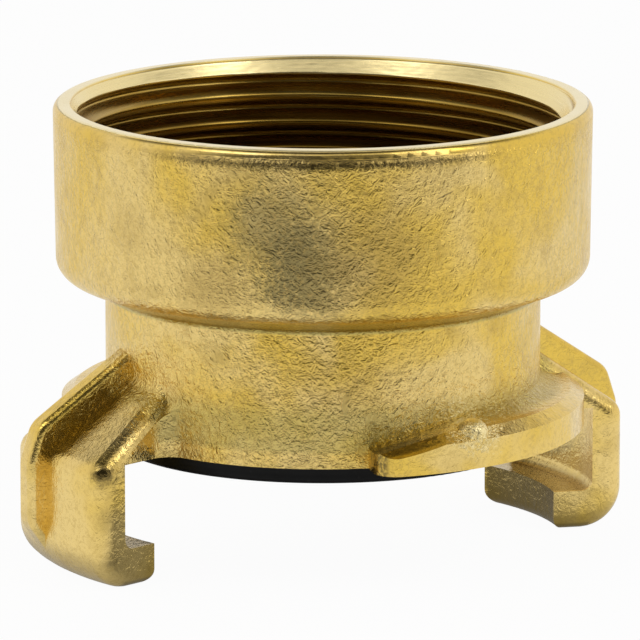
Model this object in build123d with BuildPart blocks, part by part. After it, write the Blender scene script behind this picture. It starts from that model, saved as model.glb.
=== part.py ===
"""Claw-type quarter-turn hose coupling half with a female pipe thread.

One brass forging and one rubber seal. The coupling stands on its two claws:
z = 0 is the claws' lowest face, +Z runs up the axis to the threaded mouth,
and the claws lie on the +X and -X sides. Lengths are in mm, angles in degrees.
"""

import os
from math import cos, radians, sin, tan

from build123d import *

# --- heights above the claws' lowest face ---
total_height = 37.8
face_height = 10.55  # mating face, the underside of neck and flanges

# --- threaded ring ---
ring_wall = 1.545  # outside the thread's grooves
ring_draft = 0.4  # loss of diameter from the rim down to the ring's foot
ring_height = 14.1  # rim to where wall and underside would meet
ring_underside_slope = 22.0  # underside, measured from the horizontal
ring_foot_radius = 1.8
rim_edge_radius = 0.7
thread_root_d = 41.91  # pipe thread of 1 1/4 inch, measured in the grooves
thread_length = 12.0
mouth_flare = 0.145  # how far the mouth opens beyond the grooves
mouth_chamfer_angle = 40.0  # measured from the axis
joint_fillet = 0.6  # ring to neck

# --- neck and waterway ---
neck_d = 36.4
waterway_d = 26.0
thread_floor_width = 3.6  # flat shoulder under the thread
floor_cone_depth = 2.2

# --- cam flanges ---
flange_width = 3.7  # beyond the neck
flange_edge_height = 2.35
flange_height = 3.1
flange_edge_width = 1.1
flange_blend = 1.9  # hollow onto the neck, its width and height
flange_blend_radius = 4.2
flange_tuck_angle = 4.0  # how far the flange runs on inside the claw
flange_start = -107.0
flange_nose_radius = 1.9
ramp_start_height = 1.25  # at the nose's outer edge
ramp_slope = 6.0
ramp_side_slope = 31.0
ramp_root_height = 1.7  # at the nose, along the neck
ramp_root_slope = 13.0
knob_angle = -82.5
knob_radius = 1.35
knob_height = 3.95
knob_inset = 1.25  # the knob's middle from the flange's edge

# --- claws ---
claw_half_angle = 17.1
claw_thickness = 2.7
channel_clearance = 1.4  # the channel's wall beyond a flange's edge
lip_hold = 1.95  # how far the lip reaches under a flange
claw_lip_height = 3.4
channel_corner_radius = 0.9
shoulder_slope = 35.0
shoulder_height = 15.9  # where the shoulder leaves the neck
shoulder_radius = 1.6
claw_heel_radius = 3.6
claw_toe_radius = 1.1
claw_side_radius = 1.35
claw_root_radius = 1.8  # flare from the claw's sides to the neck, run out before the lip
shoulder_root_radius = 1.6  # hollow from the shoulder to the neck

# --- rib on each claw's back ---
rib_width = 2.2
rib_offset = -1.4  # along the claw's width
rib_root_height = 18.2
rib_slope = 33.5
rib_stand = 1.4  # the rib's back above the claw's
rib_knee_inset = 1.0  # where the sloping back turns down, inside the rib's back
rib_back_height = 9.8
rib_heel_height = 4.6
rib_foot_inset = 0.75  # the rib's foot runs out in the claw's heel
rib_foot_height = 1.55
rib_knee_radius = 2.2
rib_edge_radius = 0.6

# --- seal and its recess ---
seal_proud = 1.3
seal_head_edge = 0.4
seal_step = 0.2  # the head's rim is wider than its lower part
seal_step_height = 0.5
seal_stem_d = 31.4
seal_stem_height = 5.0
seal_bead_d = 33.0
seal_bead_width = 1.8
seal_bead_height = 2.0  # middle of the bead above the mating face
seal_bore_d = 25.0
seal_clearance = 0.15

# --- what follows from the sizes above ---
thread_r = thread_root_d / 2
mouth_r = thread_r + mouth_flare
ring_r = thread_r + ring_wall
ring_foot_r = ring_r - ring_draft / 2
neck_r = neck_d / 2
corner_z = total_height - ring_height
neck_top_z = corner_z - (ring_foot_r - neck_r) * tan(radians(ring_underside_slope))
thread_floor_z = total_height - thread_length
mouth_depth = mouth_flare / tan(radians(mouth_chamfer_angle))
flange_r = neck_r + flange_width
channel_r = flange_r + channel_clearance
lip_r = flange_r - lip_hold
claw_outer_r = channel_r + claw_thickness
knob_r = flange_r - knob_inset
claw_inner_r = neck_r - 2 * claw_side_radius  # buried deep enough for the rounding
rib_back_r = claw_outer_r + rib_stand
rib_knee_r = rib_back_r - rib_knee_inset
rib_foot_r = claw_outer_r - rib_foot_inset
seam_angle = 45.0  # where the turned surfaces close, clear of claws and flanges
claw_top_z = shoulder_height + 3 * shoulder_root_radius  # where the hollow has run out
overlap = 1.0  # depth by which added forms start inside what carries them
tol = 0.01  # two positions closer than this are the same


def radial_plane(angle):
    """Plane through the Z axis: local x points outward, local y points up."""
    a = radians(angle)
    return Plane(origin=(0, 0, 0), x_dir=(cos(a), sin(a), 0), z_dir=(sin(a), -cos(a), 0))


def nearest_vertex(sketch, x, y):
    """Corner of a sketch closest to a point of its plane."""
    return sketch.vertices().sort_by_distance((x, y))[0]


def outer_edges(piece, side_planes):
    """Edges of a claw that lie in its side planes and face away from the lathe's cuts."""
    found = ShapeList()
    for side_plane in side_planes:
        for edge in piece.edges():
            ends_and_middle = [side_plane.to_local_coords(edge @ t) for t in (0, 0.5, 1)]
            if max(abs(p.Z) for p in ends_and_middle) > tol:
                continue
            start, middle, _ = ends_and_middle
            sloping = abs(start.X - middle.X) > tol
            if middle.Y < tol or middle.X > channel_r or (middle.Y > face_height and sloping):
                found.append(edge)
    return found


def ramp_plane(slope, side_slope, height, radius):
    """Plane over the flange's nose that rises onward and, by side_slope, inward."""
    a = radians(flange_start)
    outward = Vector(cos(a), sin(a), 0)
    onward = Vector(-sin(a), cos(a), 0)
    rise_onward = onward + Vector(0, 0, tan(radians(slope)))
    rise_inward = Vector(0, 0, tan(radians(side_slope))) - outward
    start = outward * radius + Vector(0, 0, face_height + height)
    return Plane(origin=start, x_dir=rise_onward, z_dir=rise_onward.cross(rise_inward))


# ring and neck, turned about the axis
with BuildPart() as core:
    with BuildSketch(radial_plane(seam_angle)) as core_section:
        with BuildLine():
            Polyline(
                (0, face_height),
                (neck_r, face_height),
                (neck_r, neck_top_z),
                (ring_foot_r, corner_z),
                (ring_r, total_height),
                (0, total_height),
                close=True,
            )
        make_face()
        fillet(nearest_vertex(core_section, ring_r, total_height), rim_edge_radius)
        fillet(nearest_vertex(core_section, ring_foot_r, corner_z), ring_foot_radius)
        fillet(nearest_vertex(core_section, neck_r, neck_top_z), joint_fillet)
    revolve(axis=Axis.Z)

# one cam flange: a sector with a ramped nose, a knob at the top of the ramp,
# and its far end buried in the claw
flange_end = -claw_half_angle + flange_tuck_angle
with BuildPart() as flange:
    with BuildSketch(radial_plane(flange_start)):
        with BuildLine():
            inner = neck_r - overlap
            blend_top = face_height + flange_height + flange_blend
            edge_r = flange_r - flange_edge_width
            Polyline(
                (inner, blend_top),
                (inner, face_height),
                (flange_r, face_height),
                (flange_r, face_height + flange_edge_height),
                (edge_r, face_height + flange_height),
                (neck_r + flange_blend, face_height + flange_height),
            )
            RadiusArc(
                (neck_r + flange_blend, face_height + flange_height),
                (inner, blend_top),
                flange_blend_radius,
            )
        make_face()
    revolve(axis=Axis.Z, revolution_arc=flange_end - flange_start)
    nose = flange.edges().filter_by(Axis.Z).sort_by_distance(
        radial_plane(flange_start).from_local_coords((flange_r, face_height)))[0]
    fillet(nose, flange_nose_radius)
    for slope, side_slope, height, radius in (
        (ramp_slope, ramp_side_slope, ramp_start_height, flange_r),
        (ramp_root_slope, 0, ramp_root_height, neck_r),
    ):
        split(bisect_by=ramp_plane(slope, side_slope, height, radius), keep=Keep.BOTTOM)
    knob_spot = radial_plane(knob_angle).from_local_coords(
        (knob_r, face_height + knob_height - knob_radius))
    with Locations(knob_spot):
        Sphere(knob_radius)

# one claw: a sector of its profile, with lip and channel turned out, the outer edges
# rounded, and a last turned cut for the toe, so that the lip's ends stay sharp
shoulder_drop = (claw_outer_r - neck_r) * tan(radians(shoulder_slope))


def claw_profile(height):
    """Section of a claw whose shoulder leaves the neck at a height and runs hollow onto it."""
    Polyline(
        (claw_inner_r, 0),
        (claw_outer_r, 0),
        (claw_outer_r, height - shoulder_drop),
        (neck_r, height),
        (neck_r, claw_top_z),
        (claw_inner_r, claw_top_z),
        close=True,
    )


with BuildPart() as claw:
    with BuildSketch(radial_plane(-claw_half_angle)) as profile:
        with BuildLine():
            claw_profile(shoulder_height)
        make_face()
        fillet(nearest_vertex(profile, claw_outer_r, 0), claw_heel_radius)
        fillet(nearest_vertex(profile, claw_outer_r, shoulder_height - shoulder_drop), shoulder_radius)
        fillet(nearest_vertex(profile, neck_r, shoulder_height), shoulder_root_radius)
    revolve(axis=Axis.Z, revolution_arc=2 * claw_half_angle)
    with BuildSketch(Plane.XZ) as turning:
        with BuildLine():
            Polyline(
                (0, -overlap),
                (lip_r, -overlap),
                (lip_r, claw_lip_height),
                (channel_r, claw_lip_height),
                (channel_r, face_height),
                (0, face_height),
                close=True,
            )
        make_face()
        fillet(nearest_vertex(turning, channel_r, claw_lip_height), channel_corner_radius)
    revolve(axis=Axis.Z, mode=Mode.SUBTRACT)
    side_planes = [radial_plane(side * claw_half_angle) for side in (-1, 1)]
    fillet(outer_edges(claw, side_planes), claw_side_radius)
    with BuildSketch(Plane.XZ):
        with BuildLine():
            Polyline(
                (lip_r, claw_toe_radius),
                (lip_r - overlap, claw_toe_radius),
                (lip_r - overlap, -overlap),
                (lip_r + claw_toe_radius, -overlap),
                (lip_r + claw_toe_radius, 0),
            )
            RadiusArc((lip_r + claw_toe_radius, 0), (lip_r, claw_toe_radius), claw_toe_radius)
        make_face()
    revolve(axis=Axis.Z, mode=Mode.SUBTRACT)

# flares from the claw's sides to the neck, under the rounded edges of the shoulder
flare_angle = 25.0  # more than the flares need
with BuildPart() as flares:
    with BuildSketch(radial_plane(-claw_half_angle - flare_angle)) as profile:
        with BuildLine():
            claw_profile(shoulder_height - claw_side_radius)
        make_face()
        fillet(nearest_vertex(profile, neck_r, shoulder_height - claw_side_radius), shoulder_root_radius)
    revolve(axis=Axis.Z, revolution_arc=2 * (claw_half_angle + flare_angle))
    with BuildSketch(Plane.XY.offset(face_height)) as outline:
        Circle(neck_r)
        with BuildLine():
            tip_r = flange_r
            tip_y = tip_r * sin(radians(claw_half_angle))
            tip_x = tip_r * cos(radians(claw_half_angle))
            Polyline((0, 0), (tip_x, -tip_y), (tip_x, tip_y), close=True)
        make_face()
        root_x = neck_r * cos(radians(claw_half_angle))
        root_y = neck_r * sin(radians(claw_half_angle))
        for side in (-1, 1):
            fillet(nearest_vertex(outline, root_x, side * root_y), claw_root_radius)
    extrude(amount=total_height, mode=Mode.INTERSECT)

# the rib stands on the forging's parting line, a little off the claw's middle
rib_knee_z = rib_root_height - (rib_knee_r - neck_r) * tan(radians(rib_slope))
with BuildPart() as rib:
    with BuildSketch(Plane.XZ.offset(-rib_offset)) as rib_section:
        with BuildLine():
            Polyline(
                (neck_r - overlap, face_height + overlap),
                (channel_r + overlap, face_height + overlap),
                (channel_r + overlap, rib_foot_height),
                (rib_foot_r, rib_foot_height),
                (rib_back_r, rib_heel_height),
                (rib_back_r, rib_back_height),
                (rib_knee_r, rib_knee_z),
                (neck_r - overlap, rib_root_height + overlap * tan(radians(rib_slope))),
                close=True,
            )
        make_face()
        for x, z in (
            (rib_knee_r, rib_knee_z),
            (rib_back_r, rib_back_height),
            (rib_back_r, rib_heel_height),
        ):
            fillet(nearest_vertex(rib_section, x, z), rib_knee_radius)
    extrude(amount=rib_width / 2, both=True)
    along_back = [
        edge for edge in rib.edges()
        if abs((edge % 0.5).Y) < tol
        and edge.center().X > channel_r + overlap + tol
        and edge.center().Z > rib_foot_height + tol
    ]
    fillet(along_back, rib_edge_radius)

# the whole forging, then thread bore, floor cone, waterway and the seal's undercut recess
with BuildPart() as body:
    add(core)
    with PolarLocations(0, 2):
        add(claw)
        add(flares)
        add(rib)
        add(flange)
    with BuildSketch(Plane.XZ):
        with BuildLine():
            Polyline(
                (0, total_height),
                (mouth_r, total_height),
                (thread_r, total_height - mouth_depth),
                (thread_r, thread_floor_z),
                (thread_r - thread_floor_width, thread_floor_z),
                (waterway_d / 2, thread_floor_z - floor_cone_depth),
                (waterway_d / 2, face_height),
                (0, face_height),
                close=True,
            )
        make_face()
    revolve(axis=Axis.Z, mode=Mode.SUBTRACT)
    with BuildSketch(Plane.XY.offset(face_height)):
        Circle(seal_stem_d / 2 + seal_clearance)
    extrude(amount=seal_stem_height, mode=Mode.SUBTRACT)
    with BuildSketch(Plane.XY.offset(face_height + seal_bead_height)):
        Circle(seal_bead_d / 2 + seal_clearance)
    extrude(amount=seal_bead_width / 2 + seal_clearance, both=True, mode=Mode.SUBTRACT)
body.part.label = "coupling_body"

# rubber seal: a head on the mating face, a stem in the recess and a bead in the undercut
with BuildPart() as seal:
    with BuildSketch(Plane.XZ) as seal_section:
        with BuildLine():
            bore_r = seal_bore_d / 2
            stem_r = seal_stem_d / 2
            bead_r = seal_bead_d / 2
            head_r = neck_r
            head_low = face_height - seal_proud
            bead_low = face_height + seal_bead_height - seal_bead_width / 2
            bead_high = bead_low + seal_bead_width
            Polyline(
                (bore_r, head_low),
                (head_r - seal_step, head_low),
                (head_r - seal_step, face_height - seal_step_height),
                (head_r, face_height - seal_step_height),
                (head_r, face_height),
                (stem_r, face_height),
                (stem_r, bead_low),
                (bead_r, bead_low),
                (bead_r, bead_high),
                (stem_r, bead_high),
                (stem_r, face_height + seal_stem_height),
                (bore_r, face_height + seal_stem_height),
                close=True,
            )
        make_face()
        fillet(seal_section.vertices().group_by(Axis.Y)[0], seal_head_edge)
    revolve(axis=Axis.Z)
seal.part.label = "seal_ring"

os.makedirs("parts", exist_ok=True)
export_step(body.part, "parts/coupling_body.step")
export_step(seal.part, "parts/seal_ring.step")
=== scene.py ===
import math
import bmesh
import bpy
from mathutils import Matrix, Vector


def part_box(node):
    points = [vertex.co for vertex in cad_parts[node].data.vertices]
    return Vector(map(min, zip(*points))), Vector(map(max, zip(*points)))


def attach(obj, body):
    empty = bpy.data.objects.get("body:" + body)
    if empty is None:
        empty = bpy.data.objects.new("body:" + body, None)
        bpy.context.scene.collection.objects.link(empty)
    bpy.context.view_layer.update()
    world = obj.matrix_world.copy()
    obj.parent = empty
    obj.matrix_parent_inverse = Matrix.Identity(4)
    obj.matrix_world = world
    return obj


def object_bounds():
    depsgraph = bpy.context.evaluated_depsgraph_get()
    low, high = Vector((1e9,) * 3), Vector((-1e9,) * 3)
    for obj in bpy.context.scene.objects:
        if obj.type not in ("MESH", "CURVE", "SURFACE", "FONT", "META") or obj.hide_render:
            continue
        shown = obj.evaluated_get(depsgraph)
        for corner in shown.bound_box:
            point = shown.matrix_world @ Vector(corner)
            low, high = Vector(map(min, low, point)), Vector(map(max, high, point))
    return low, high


# lengths are in metres
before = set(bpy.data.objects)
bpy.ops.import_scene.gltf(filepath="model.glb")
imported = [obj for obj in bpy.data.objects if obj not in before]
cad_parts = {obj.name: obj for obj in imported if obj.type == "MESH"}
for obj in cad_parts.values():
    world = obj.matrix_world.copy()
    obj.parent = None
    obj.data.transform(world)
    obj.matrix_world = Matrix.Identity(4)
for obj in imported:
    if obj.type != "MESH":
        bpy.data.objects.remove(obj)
cadBox = [[float(v) for v in corner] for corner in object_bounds()]
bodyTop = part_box("coupling_body")[1][2]
print("frame loaded")

scene = bpy.context.scene
scene.view_settings.view_transform = "Standard"


# wraps a socket, so that shader maths is written as plain expressions
class Sock:
    def __init__(self, kit, socket):
        self.kit = kit
        self.socket = socket

    def __add__(self, other):
        return self.kit.maths("ADD", self, other)

    __radd__ = __add__

    def __sub__(self, other):
        return self.kit.maths("SUBTRACT", self, other)

    def __rsub__(self, other):
        return self.kit.maths("SUBTRACT", other, self)

    def __mul__(self, other):
        return self.kit.maths("MULTIPLY", self, other)

    __rmul__ = __mul__

    def __truediv__(self, other):
        return self.kit.maths("DIVIDE", self, other)

    def __pow__(self, other):
        return self.kit.maths("POWER", self, other)

    def __abs__(self):
        return self.kit.maths("ABSOLUTE", self)


class NodeKit:
    def __init__(self, tree):
        self.tree = tree

    def node(self, kind, settings=None, inputs=None, output=0):
        made = self.tree.nodes.new(kind)
        for name, value in (settings or {}).items():
            setattr(made, name, value)
        for key, value in (inputs or {}).items():
            target = made.inputs[key]
            if isinstance(value, Sock):
                self.tree.links.new(value.socket, target)
            else:
                target.default_value = value
        return Sock(self, made.outputs[output]) if len(made.outputs) else made

    def maths(self, operation, *values):
        return self.node("ShaderNodeMath", {"operation": operation}, dict(enumerate(values)))

    def least(self, a, b):
        return self.maths("MINIMUM", a, b)

    def most(self, a, b):
        return self.maths("MAXIMUM", a, b)

    def vectors(self, operation, inputs, output="Vector"):
        return self.node("ShaderNodeVectorMath", {"operation": operation}, inputs, output)

    def position(self):
        return self.node("ShaderNodeTexCoord", output="Object")

    def split(self, vector):
        made = self.node("ShaderNodeSeparateXYZ", inputs={0: vector})
        return [Sock(self, made.socket.node.outputs[i]) for i in range(3)]

    def stretch(self, vector, factors):
        return self.node("ShaderNodeMapping", inputs={"Vector": vector, "Scale": factors})

    def noise(self, vector, scale, detail, roughness, distortion=0.0):
        return self.node("ShaderNodeTexNoise", inputs={
            "Vector": vector, "Scale": scale, "Detail": detail,
            "Roughness": roughness, "Distortion": distortion})

    def above(self, value, edge, way="SMOOTHSTEP"):  # 0 below the edge's lower end, 1 above its upper end
        return self.node("ShaderNodeMapRange", {"interpolation_type": way}, {
            "Value": value, "From Min": edge[0], "From Max": edge[1], "To Min": 0.0, "To Max": 1.0})

    def below(self, value, edge):
        return 1 - self.above(value, edge)

    def band(self, value, ends):  # 1 between the second and the third of four values
        return self.above(value, ends[:2]) * self.below(value, ends[2:])

    def mix(self, factor, a, b):
        return self.node("ShaderNodeMix", {"data_type": "RGBA"}, {0: factor, 6: a, 7: b}, output=2)

    def bump(self, height, strength, distance):
        return self.node("ShaderNodeBump", inputs={
            "Height": height, "Strength": strength, "Distance": distance})


def newMaterial(name):
    material = bpy.data.materials.new(name)
    material.use_nodes = True
    material.node_tree.nodes.clear()
    return material, NodeKit(material.node_tree)


def finishMaterial(kit, inputs):
    shader = kit.node("ShaderNodeBsdfPrincipled", inputs=inputs)
    kit.node("ShaderNodeOutputMaterial", inputs={"Surface": shader})


def towards(x, y, azimuth):  # how far a place or a direction lies towards an azimuth
    a = math.radians(azimuth)
    return x * math.cos(a) + y * math.sin(a)


# the forging: blasted grain and mottled tones outside, turned surfaces inside
neckTop = 0.0219  # where the neck meets the ring
body = {
    "tones": {
        "pale": (0.83, 0.62, 0.23, 1),
        "golden": (0.80, 0.55, 0.10, 1),
        "olive": (0.49, 0.34, 0.10, 1),
        "grey": (0.27, 0.215, 0.085, 1),
        # a painted shade tone, for the hollow under the ring and the groove between the neck and the flange
        "shadeOlive": (0.44, 0.38, 0.13, 1),
        "brown": (0.13, 0.095, 0.04, 1),
        "polished": (0.91, 0.78, 0.44, 1),
        "bright": (0.96, 0.82, 0.44, 1),
    },
    "noises": {  # scale, detail, roughness, distortion
        "broad": (95.0, 3.0, 0.55, 0.3),
        "patches": (260.0, 4.0, 0.6, 0.6),
        "fibre": (1250.0, 3.0, 0.55, 0.7),
        "grain": (2750.0, 3.0, 0.65, 0.4),
        "lumps": (437.5, 2.0, 0.5, 0.4),
    },
    "coats": {  # tone and strength of what lies over the mottled brass; all but patches, rim, scratch and knob are painted shade
        "patches": ("olive", 0.3),
        "hollowShade": ("shadeOlive", 0.75),
        "grooveShade": ("shadeOlive", 0.5),
        "channelShade": ("brown", 0.55),
        "rampShade": ("brown", 0.85),
        "rimEdgeShade": ("brown", 0.75),
        "rim": ("polished", 1.0),
        "grainShade": ("olive", 0.4),
        "scratch": ("brown", 0.75),
        "knob": ("bright", 0.8),
    },
    "stains": [  # place, size, tone, strength
        ((-0.0140, -0.0176, 0.0312), 0.0062, "grey", 0.65),
        ((-0.0118, -0.0192, 0.0282), 0.0052, "grey", 0.85),
        ((-0.0070, -0.0214, 0.0290), 0.0060, "olive", 0.6),
        ((-0.0180, -0.0136, 0.0262), 0.0040, "olive", 0.5),
        ((-0.0212, -0.0060, 0.0300), 0.0030, "olive", 0.3),
        ((-0.0070, -0.0160, 0.0175), 0.0050, "olive", 0.3),
        ((-0.0244, -0.0072, 0.0101), 0.0016, "brown", 0.85),
        ((-0.0240, -0.0077, 0.0062), 0.0019, "brown", 0.3),
        ((-0.0236, -0.0080, 0.0026), 0.0017, "brown", 0.55),
    ],
    "stainNoise": {"patches": 0.55, "grain": 0.45},
    "stainRagged": 2.4,  # how far noise moves a stain's edge, in sizes
    "stainEdge": (0.3, 1.0),
    "scratches": [  # two ends, width
        ((-0.00173, -0.02243, 0.0335), (-0.00043, -0.02250, 0.0340), 0.00009),
        ((-0.01656, -0.01523, 0.0256), (-0.01602, -0.01580, 0.0248), 0.00007),
        ((-0.01960, -0.01105, 0.0312), (-0.01915, -0.01181, 0.0310), 0.00005),
    ],
    "scratchEdge": (0.4, 1.3),
    "rampShadeSpot": ((-0.0036, -0.0206, 0.0123), 0.0044),  # place, size
    "paleKnob": ((0.0027, -0.0205, 0.0142), 0.0030),
    "clawHalfAngle": 16.8,
    "rimEdgeShadeAzimuth": -118.8,  # the side facing the camera, where a band under the rim gets painted shade
    "rimEdgeShadeRagged": 0.0006,
    "roughness": {"all": 0.2, "patches": 0.1, "turned": -0.04, "knob": 0.12, "worked": -0.05},
    "relief": {"fibre": 1.2, "grain": 0.7, "lumps": 1.2},
    "reliefHeight": 0.00011,
    "workedCalm": 0.7,  # how much smoother the claws and flanges are
    "knobRelief": 0.4,
    "rimRoll": 2.6,  # how far the ring rolls in at the rim, in relief heights
    "edges": {  # where a finish starts and is full; with four values, also where it fades and ends
        "boreRadius": (0.0212, 0.02124),
        "boreHeight": (0.0245, 0.0255),
        "waterwayRadius": (0.0179, 0.0181),
        "rimHeight": (bodyTop - 0.00012, bodyTop - 0.00004),
        "paleNoise": (0.38, 0.62),
        "patchNoise": (0.5, 0.7),
        "roughNoise": (0.3, 0.8),
        "grainShadeFibre": (0.0, 0.2),
        "grainShadeGrain": (0.42, 0.6),
        "hollowRadius": (0.0208, 0.0218),
        "hollowHeight": (neckTop - 0.0003, neckTop, neckTop + 0.0012, neckTop + 0.0018),
        "grooveRadius": (0.0176, 0.0181, 0.0192, 0.0205),
        "grooveHeight": (0.0115, 0.0122, 0.0145, 0.0165),
        "channelRadius": (0.0229, 0.0234),
        "channelHeight": (0.0098, 0.0105),
        "channelSide": (0.0, 0.0003),
        "rampShadeRadius": (0.0188, 0.0196, 0.0214, 0.0217),
        "rimEdgeShadeFoot": (bodyTop - 0.0013, bodyTop - 0.0009),
        "rimEdgeShadeHead": (bodyTop - 0.0008, bodyTop - 0.0005),
        "rimEdgeShadeFront": (0.0165, 0.0205),
        "workedRadius": (0.0188, 0.0205),
        "workedHeight": (0.0185, 0.0195),
        "calmHeight": (bodyTop - 0.0011, bodyTop - 0.0006),
        "rollHeight": (bodyTop - 0.0018, bodyTop - 0.0004),
    },
}


def scratch(kit, place, start, end, width):  # 1 on the line between the ends
    run = [end[i] - start[i] for i in range(3)]
    length = sum(v * v for v in run) ** 0.5
    fromStart = kit.vectors("SUBTRACT", {0: place, 1: start})
    along = kit.vectors("DOT_PRODUCT", {0: fromStart, 1: run}, "Value")
    share = kit.least(kit.most(along / length ** 2, 0.0), 1.0)
    nearest = kit.vectors("SCALE", {0: run, "Scale": share})
    away = kit.vectors("DISTANCE", {0: fromStart, 1: nearest}, "Value")
    return kit.below(away, [width * part for part in body["scratchEdge"]])


def stain(kit, place, centre, size, noise):  # a ragged blot
    away = kit.vectors("DISTANCE", {0: place, 1: centre}, "Value")
    ragged = (noise - 0.5) * (size * body["stainRagged"])
    return kit.below(away + ragged, [size * part for part in body["stainEdge"]])


def coat(kit, colour, name, mask):
    tone, strength = body["coats"][name]
    return kit.mix(mask * strength, colour, body["tones"][tone])


def forgedBrass():
    material, kit = newMaterial("forgedBrass")
    place = kit.position()
    x, y, z = kit.split(place)
    radius = (x * x + y * y) ** 0.5
    noises = {name: kit.noise(place, *numbers) for name, numbers in body["noises"].items()}
    noises["fibre"] = abs(noises["fibre"] - 0.5) * 2
    patches, grain = noises["patches"], noises["grain"]
    edges = body["edges"]

    # where the forging is turned and worked, and where the knob and its band are painted paler
    inBore = kit.below(radius, edges["boreRadius"])
    onRim = kit.above(z, edges["rimHeight"])
    waterway = kit.below(radius, edges["waterwayRadius"])
    machined = kit.most(kit.most(inBore * kit.above(z, edges["boreHeight"]), waterway), onRim)
    worked = kit.above(radius, edges["workedRadius"]) * kit.below(z, edges["workedHeight"])
    paleKnobArea = stain(kit, place, *body["paleKnob"], grain)

    # where shade is painted on, and where it is scratched
    channelShade = kit.below(radius, edges["channelRadius"]) * kit.below(z, edges["channelHeight"])
    inLip = abs(x) * math.tan(math.radians(body["clawHalfAngle"])) - abs(y)
    rampShade = stain(kit, place, *body["rampShadeSpot"], grain)
    rimEdgeShade = kit.above(z + grain * body["rimEdgeShadeRagged"], edges["rimEdgeShadeFoot"])
    front = towards(x, y, body["rimEdgeShadeAzimuth"])
    grainShade = kit.below(noises["fibre"], edges["grainShadeFibre"]) * kit.above(grain, edges["grainShadeGrain"])
    scored = scratch(kit, place, *body["scratches"][0])
    for ends in body["scratches"][1:]:
        scored = kit.most(scored, scratch(kit, place, *ends))
    masks = {  # in this order over the mottled brass
        # painted shade in the hollow under the ring
        "hollowShade": kit.band(z, edges["hollowHeight"]) * kit.below(radius, edges["hollowRadius"]),
        # painted shade in the groove between the neck and the flange
        "grooveShade": kit.band(radius, edges["grooveRadius"]) * kit.band(z, edges["grooveHeight"]),
        # painted shade inside the claws' channels
        "channelShade": channelShade * kit.above(inLip, edges["channelSide"]),
        # painted shade on the top of the flange's ramp
        "rampShade": rampShade * kit.band(radius, edges["rampShadeRadius"]),
        # a painted shade band under the rim, on the side facing the camera
        "rimEdgeShade": rimEdgeShade * kit.below(z, edges["rimEdgeShadeHead"]) * kit.above(front, edges["rimEdgeShadeFront"]),
        "rim": onRim,
        # painted shade in the dents of the grain
        "grainShade": grainShade * (1 - machined),
        "scratch": scored,
        "knob": paleKnobArea,
    }

    tones = body["tones"]
    colour = kit.mix(kit.above(noises["broad"], edges["paleNoise"]), tones["golden"], tones["pale"])
    colour = coat(kit, colour, "patches", kit.above(patches, edges["patchNoise"]))
    ragged = patches * body["stainNoise"]["patches"] + grain * body["stainNoise"]["grain"]
    for centre, size, tone, strength in body["stains"]:
        colour = kit.mix(stain(kit, place, centre, size, ragged) * strength, colour, tones[tone])
    for name, mask in masks.items():
        colour = coat(kit, colour, name, mask)

    share = body["roughness"]
    rough = share["all"] + kit.above(patches, edges["roughNoise"]) * share["patches"]
    rough = rough + machined * share["turned"] + paleKnobArea * share["knob"] + worked * share["worked"]
    calm = kit.below(z, edges["calmHeight"]) * (1 - worked * body["workedCalm"]) + paleKnobArea * body["knobRelief"]
    height = sum(noises[name] * weight for name, weight in body["relief"].items()) * calm
    height = height - kit.above(z, edges["rollHeight"]) * (1 - inBore) * body["rimRoll"]
    normal = kit.bump(height * (1 - machined), 1.0, body["reliefHeight"])
    finishMaterial(kit, {"Base Color": colour, "Metallic": 1.0, "Roughness": rough, "Normal": normal})
    return material


# the pipe thread: a closed sleeve that lies in the bore, its ridge winding inward
thread = {
    "sizes": {  # the tree's named inputs
        "Mouth Height": bodyTop,
        "Root Radius": 0.020945,
        "Crest Radius": 0.01958,
        "Pitch": 0.002309,
        "Start Depth": 0.00018,  # the sleeve's upper end, below the mouth
        "Length": 0.0117,
        "First Crest": 0.00317,  # depth of a crest at the angle below
        "Crest Angle": math.radians(61.2),
        "Crest Width": 0.02,  # share of half a turn
        "Root Width": 0.06,
        "Mouth Radius": 0.0211,  # the countersink's wide end
        "Mouth Slope": 0.74,
        "Burr": 0.0001,
    },
    "around": 360,
    "rows": 130,
    "runOut": (0.9, 0.985),  # where the ridge fades, as a share of the length
    "burrAround": 60,  # how fine the burr is, round the mouth and down the bore
    "burrDown": 2500,
    "burrNoise": (1.0, 4.0, 0.7),
    "leastWall": 0.00001,  # of the sleeve, in its grooves
    "weld": 0.000001,
    # turned brass tones darker than the forging's: partly the brass's own colour, partly painted shade of the
    # bore
    "dull": (0.40, 0.25, 0.045, 1),
    "clear": (0.50, 0.34, 0.08, 1),
    "inside": (0.22, 0.13, 0.02, 1),
    "insideDepth": (0.0015, 0.007),
    "countersink": (0.90, 0.75, 0.38, 1),
    "countersinkEdge": (0.00006, 0.00014),
    "streakStretch": (120.0, 120.0, 5200.0),
    "streakNoise": (1.0, 3.0, 0.6),
    "streakEdge": (0.3, 0.7),
    "streakBump": 0.3,
    "streakHeight": 0.00002,
    "cloudNoise": (160.0, 2.0, 0.5),
    "cloudEdge": (0.35, 0.65),
    "roughness": 0.22,
    "streakRoughness": 0.1,
}


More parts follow.
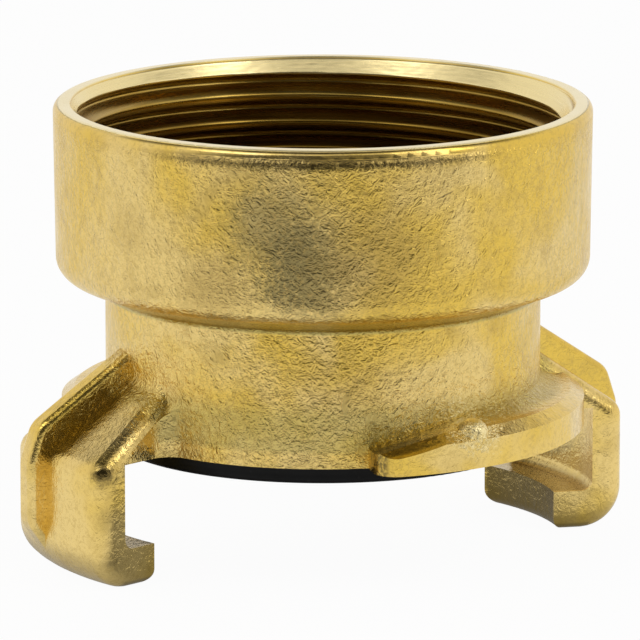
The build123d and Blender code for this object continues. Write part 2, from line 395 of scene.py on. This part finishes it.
def turnedBrass():
    material, kit = newMaterial("turnedBrass")
    place = kit.position()
    streaks = kit.noise(kit.stretch(place, thread["streakStretch"]), *thread["streakNoise"])
    cloud = kit.noise(place, *thread["cloudNoise"])
    x, y, z = kit.split(place)
    depth = bodyTop - z
    coneRadius = thread["sizes"]["Mouth Radius"] - depth * thread["sizes"]["Mouth Slope"]
    onCone = kit.below(abs((x * x + y * y) ** 0.5 - coneRadius), thread["countersinkEdge"])
    colour = kit.mix(kit.above(cloud, thread["cloudEdge"]), thread["dull"], thread["clear"])
    # painted shade: darker deeper down the bore
    colour = kit.mix(kit.above(depth, thread["insideDepth"]), colour, thread["inside"])
    colour = kit.mix(onCone, colour, thread["countersink"])
    rough = thread["roughness"] + kit.above(streaks, thread["streakEdge"]) * thread["streakRoughness"]
    normal = kit.bump(streaks, thread["streakBump"], thread["streakHeight"])
    finishMaterial(kit, {"Base Color": colour, "Metallic": 1.0, "Roughness": rough, "Normal": normal})
    return material


# the seal: satin black rubber with a little dust
seal = {
    "black": (0.004, 0.004, 0.004, 1),
    "dust": (0.04, 0.04, 0.04, 1),
    "dustShare": 0.2,
    "dustNoise": (1700.0, 3.0, 0.6),
    "dustEdge": (0.6, 0.75),
    "cloudNoise": (500.0, 4.0, 0.6),
    "cloudEdge": (0.3, 0.7),
    "roughness": 0.4,
    "cloudRoughness": 0.12,
    "gloss": 0.16,
    "bump": 0.25,
    "bumpHeight": 0.00003,
}


def sealRubber():
    material, kit = newMaterial("sealRubber")
    place = kit.position()
    cloud = kit.noise(place, *seal["cloudNoise"])
    dust = kit.above(kit.noise(place, *seal["dustNoise"]), seal["dustEdge"])
    colour = kit.mix(dust * seal["dustShare"], seal["black"], seal["dust"])
    rough = seal["roughness"] + kit.above(cloud, seal["cloudEdge"]) * seal["cloudRoughness"]
    normal = kit.bump(cloud, seal["bump"], seal["bumpHeight"])
    finishMaterial(kit, {
        "Base Color": colour, "Roughness": rough, "Specular IOR Level": seal["gloss"], "Normal": normal})
    return material


def dress(nodeName, material):
    for slot in bpy.data.objects[nodeName].material_slots:
        slot.material = material


dress("coupling_body", forgedBrass())
dress("seal_ring", sealRubber())
print("finishes on the carried pieces")


def threadTree():
    tree = bpy.data.node_groups.new("threadTree", "GeometryNodeTree")
    for name in thread["sizes"]:
        tree.interface.new_socket(name=name, in_out="INPUT", socket_type="NodeSocketFloat")
    tree.interface.new_socket(name="Geometry", in_out="OUTPUT", socket_type="NodeSocketGeometry")
    kit = NodeKit(tree)
    entry = kit.node("NodeGroupInput").socket.node
    size = {name: Sock(kit, entry.outputs[name]) for name in thread["sizes"]}

    # a flat grid: the angle across it, and up it the rows down the bore and three more that close the sleeve
    around, rows = thread["around"], thread["rows"]
    sheet = kit.node("GeometryNodeMeshGrid", inputs={
        "Size X": float(around), "Size Y": float(rows + 3), "Vertices X": around + 1, "Vertices Y": rows + 4})
    across, up = kit.split(kit.node("GeometryNodeInputPosition"))[:2]
    angle = (across / around + 0.5) * (2 * math.pi)
    row = up + (rows + 3) / 2

    def past(count):  # 1 on the rows after this one
        return kit.above(row, (count + 0.4, count + 0.6))

    outside = past(rows) * (1 - past(rows + 2))
    down = kit.least(row, float(rows)) * (1 - past(rows + 1)) / rows  # share of the length
    depth = size["Start Depth"] + down * size["Length"]

    # the ridge: 100 more turns keep the count positive, and half a turn puts a crest at 0
    turns = (depth - size["First Crest"]) / size["Pitch"] + (angle - size["Crest Angle"]) / (2 * math.pi)
    fromCrest = abs(kit.maths("FRACT", turns + 100.5) - 0.5) * 2  # 0 on a crest, 1 in a groove
    ridge = kit.below(fromCrest, (size["Crest Width"], 1 - size["Root Width"]))
    ridge = ridge * kit.below(down, thread["runOut"])
    bore = size["Root Radius"] - (size["Root Radius"] - size["Crest Radius"]) * ridge

    # the countersink cuts off the first turns and leaves a small burr
    cosine, sine = kit.maths("COSINE", angle), kit.maths("SINE", angle)
    ring = kit.node("ShaderNodeCombineXYZ", inputs={
        0: cosine * thread["burrAround"], 1: sine * thread["burrAround"], 2: depth * thread["burrDown"]})
    burr = (kit.noise(ring, *thread["burrNoise"]) - 0.5) * size["Burr"]
    cone = size["Mouth Radius"] - size["Mouth Slope"] * depth + burr
    inner = kit.least(kit.most(bore, cone), size["Root Radius"] - thread["leastWall"])

    radius = inner * (1 - outside) + size["Root Radius"] * outside
    place = kit.node("ShaderNodeCombineXYZ", inputs={
        0: cosine * radius, 1: sine * radius, 2: size["Mouth Height"] - depth})
    bent = kit.node("GeometryNodeSetPosition", inputs={"Geometry": sheet, "Position": place})
    closed = kit.node("GeometryNodeMergeByDistance", inputs={"Geometry": bent, "Distance": thread["weld"]})
    smooth = kit.node("GeometryNodeSetShadeSmooth", inputs={"Geometry": closed, "Shade Smooth": True})
    real = kit.node("GeometryNodeRealizeInstances", inputs={"Geometry": smooth})
    dressed = kit.node("GeometryNodeSetMaterial", inputs={"Geometry": real, "Material": turnedBrass()})
    kit.node("NodeGroupOutput", inputs={"Geometry": dressed})
    return tree


def grown(name, tree, values):  # runs a tree on an empty mesh and keeps the result as a plain mesh
    seed = bpy.data.objects.new(name + "_seed", bpy.data.meshes.new(name + "_seed"))
    scene.collection.objects.link(seed)
    modifier = seed.modifiers.new("shape", "NODES")
    modifier.node_group = tree
    for item in tree.interface.items_tree:
        if item.in_out == "INPUT":
            modifier[item.identifier] = values[item.name]
    mesh = bpy.data.meshes.new_from_object(seed.evaluated_get(bpy.context.evaluated_depsgraph_get()))
    mesh.name = name
    seed.modifiers.remove(modifier)
    bpy.data.objects.remove(seed)
    piece = bpy.data.objects.new(name, mesh)
    scene.collection.objects.link(piece)
    return piece


def turnOutward(mesh):
    work = bmesh.new()
    work.from_mesh(mesh)
    bmesh.ops.recalc_face_normals(work, faces=work.faces)
    openEdges = [edge for edge in work.edges if len(edge.link_faces) != 2]
    print("open edges in", mesh.name, len(openEdges))
    work.to_mesh(mesh)
    work.free()


sleeve = grown("thread_sleeve", threadTree(), thread["sizes"])
turnOutward(sleeve.data)
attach(sleeve, "root")
print("thread cut,", len(sleeve.data.polygons), "faces")

# the studio: a pale paper floor, a light room with dark cards for the brass to mirror, two soft lamps
stage = {
    "azimuth": -118.8,
    "elevation": 12.06,
    "distance": 0.6817,
    "target": (0.0, 0.0, bodyTop - 0.01865),
    "lens": 458.1,
    "sensor": 36.0,
    "shift": (-0.0045, 0.0),
    "nearest": 0.01,  # the camera sees nothing nearer
    "white": (1, 1, 1, 1),
    "floorColour": (0.95, 0.95, 0.94, 1),
    "floorSize": 3.0,
    "floorGap": 0.00002,
    "seenGlow": 0.96,  # share of the floor that glows white, for the camera and in reflections
    "mirroredGlow": 0.9,
    "underShade": 0.75,  # how much darker the brass mirrors the paper under it
    "underRadius": (0.020, 0.034),
    "frontShade": 0.85,  # and the paper in front of it
    "frontReach": (0.03, 0.42),
    "roomColour": (1, 0.98, 0.95, 1),
    "roomLight": 0.91,
    "cardShade": 0.93,
    "cardSides": (0.35, 0.85),  # the card in front
    "cardHeight": (-0.02, 0.14, 0.68, 0.84),
    "backHeight": (0.55, 0.8),  # the card high at the back
    "backSide": (-0.3, 0.2),
    "overhead": (0.885, 0.95),
    "lampTarget": (0, 0, 0.02),
    "lamps": {  # azimuth, elevation, distance, width and height, power
        "key": (-165, 48, 0.6, (0.25, 0.2), 0.3),
        "fill": (-60, 45, 0.6, (0.2, 0.25), 0.4),
    },
}


def placeAround(target, azimuth, elevation, distance):  # a place at a distance from a target
    a, e = math.radians(azimuth), math.radians(elevation)
    return (
        target[0] + distance * math.cos(e) * math.cos(a),
        target[1] + distance * math.cos(e) * math.sin(a),
        target[2] + distance * math.sin(e),
    )


def aim(thing, target):
    direction = Vector([target[i] - thing.location[i] for i in range(3)])
    thing.rotation_euler = direction.to_track_quat("-Z", "Y").to_euler()


def makeFloor():
    half = stage["floorSize"] / 2
    low = cadBox[0][2] - stage["floorGap"]
    corners = [(x * half, y * half, low) for x, y in ((-1, -1), (1, -1), (1, 1), (-1, 1))]
    mesh = bpy.data.meshes.new("floor")
    mesh.from_pydata(corners, [], [(0, 1, 2, 3)])
    floor = bpy.data.objects.new("floor", mesh)
    scene.collection.objects.link(floor)
    material, kit = newMaterial("floorPaper")
    seen = kit.node("ShaderNodeLightPath", output="Is Camera Ray")
    mirrored = kit.node("ShaderNodeLightPath", output="Is Glossy Ray")
    x, y = kit.split(kit.position())[:2]
    front = kit.above(towards(x, y, stage["azimuth"]), stage["frontReach"], "LINEAR") * stage["frontShade"]
    under = kit.below((x * x + y * y) ** 0.5, stage["underRadius"]) * stage["underShade"]
    strength = 1 - mirrored * kit.most(front, under)
    paper = kit.node("ShaderNodeBsdfDiffuse", inputs={"Color": stage["floorColour"]})
    glow = kit.node("ShaderNodeEmission", inputs={"Color": stage["white"], "Strength": strength})
    share = seen * stage["seenGlow"] + mirrored * stage["mirroredGlow"]
    shader = kit.node("ShaderNodeMixShader", inputs={0: share, 1: paper, 2: glow})
    kit.node("ShaderNodeOutputMaterial", inputs={"Surface": shader})
    mesh.materials.append(material)


def makeWorld():
    world = bpy.data.worlds.new("studio")
    world.use_nodes = True
    world.node_tree.nodes.clear()
    kit = NodeKit(world.node_tree)
    x, y, z = kit.split(kit.node("ShaderNodeTexCoord", output="Generated"))
    front = towards(x, y, stage["azimuth"])
    facing = front / ((x * x + y * y + 0.0001) ** 0.5)  # the small number is for straight up and down
    card = kit.above(facing, stage["cardSides"]) * kit.band(z, stage["cardHeight"])
    back = kit.above(z, stage["backHeight"]) * kit.below(front, stage["backSide"])
    dark = kit.most(kit.most(card, back), kit.above(z, stage["overhead"])) * stage["cardShade"]
    seen = kit.node("ShaderNodeLightPath", output="Is Camera Ray")
    room = kit.node("ShaderNodeBackground", inputs={
        "Color": stage["roomColour"], "Strength": (1 - dark) * stage["roomLight"]})
    white = kit.node("ShaderNodeBackground", inputs={"Color": stage["white"], "Strength": 1.0})
    shader = kit.node("ShaderNodeMixShader", inputs={0: seen, 1: room, 2: white})
    kit.node("ShaderNodeOutputWorld", inputs={"Surface": shader})
    scene.world = world


def makeLamp(name, azimuth, elevation, distance, size, power):
    data = bpy.data.lights.new(name, "AREA")
    data.shape = "RECTANGLE"
    data.size, data.size_y = size
    data.energy = power
    lamp = bpy.data.objects.new(name, data)
    lamp.location = placeAround(stage["lampTarget"], azimuth, elevation, distance)
    scene.collection.objects.link(lamp)
    aim(lamp, stage["lampTarget"])


def makeCamera():
    data = bpy.data.cameras.new("camera")
    camera = bpy.data.objects.new("camera", data)
    scene.collection.objects.link(camera)
    camera.location = placeAround(stage["target"], stage["azimuth"], stage["elevation"], stage["distance"])
    aim(camera, stage["target"])
    data.lens = stage["lens"]
    data.sensor_width = stage["sensor"]
    data.shift_x, data.shift_y = stage["shift"]
    data.clip_start = stage["nearest"]
    scene.camera = camera


makeFloor()
makeWorld()
for name, numbers in stage["lamps"].items():
    makeLamp(name, *numbers)
makeCamera()
print("stage set")
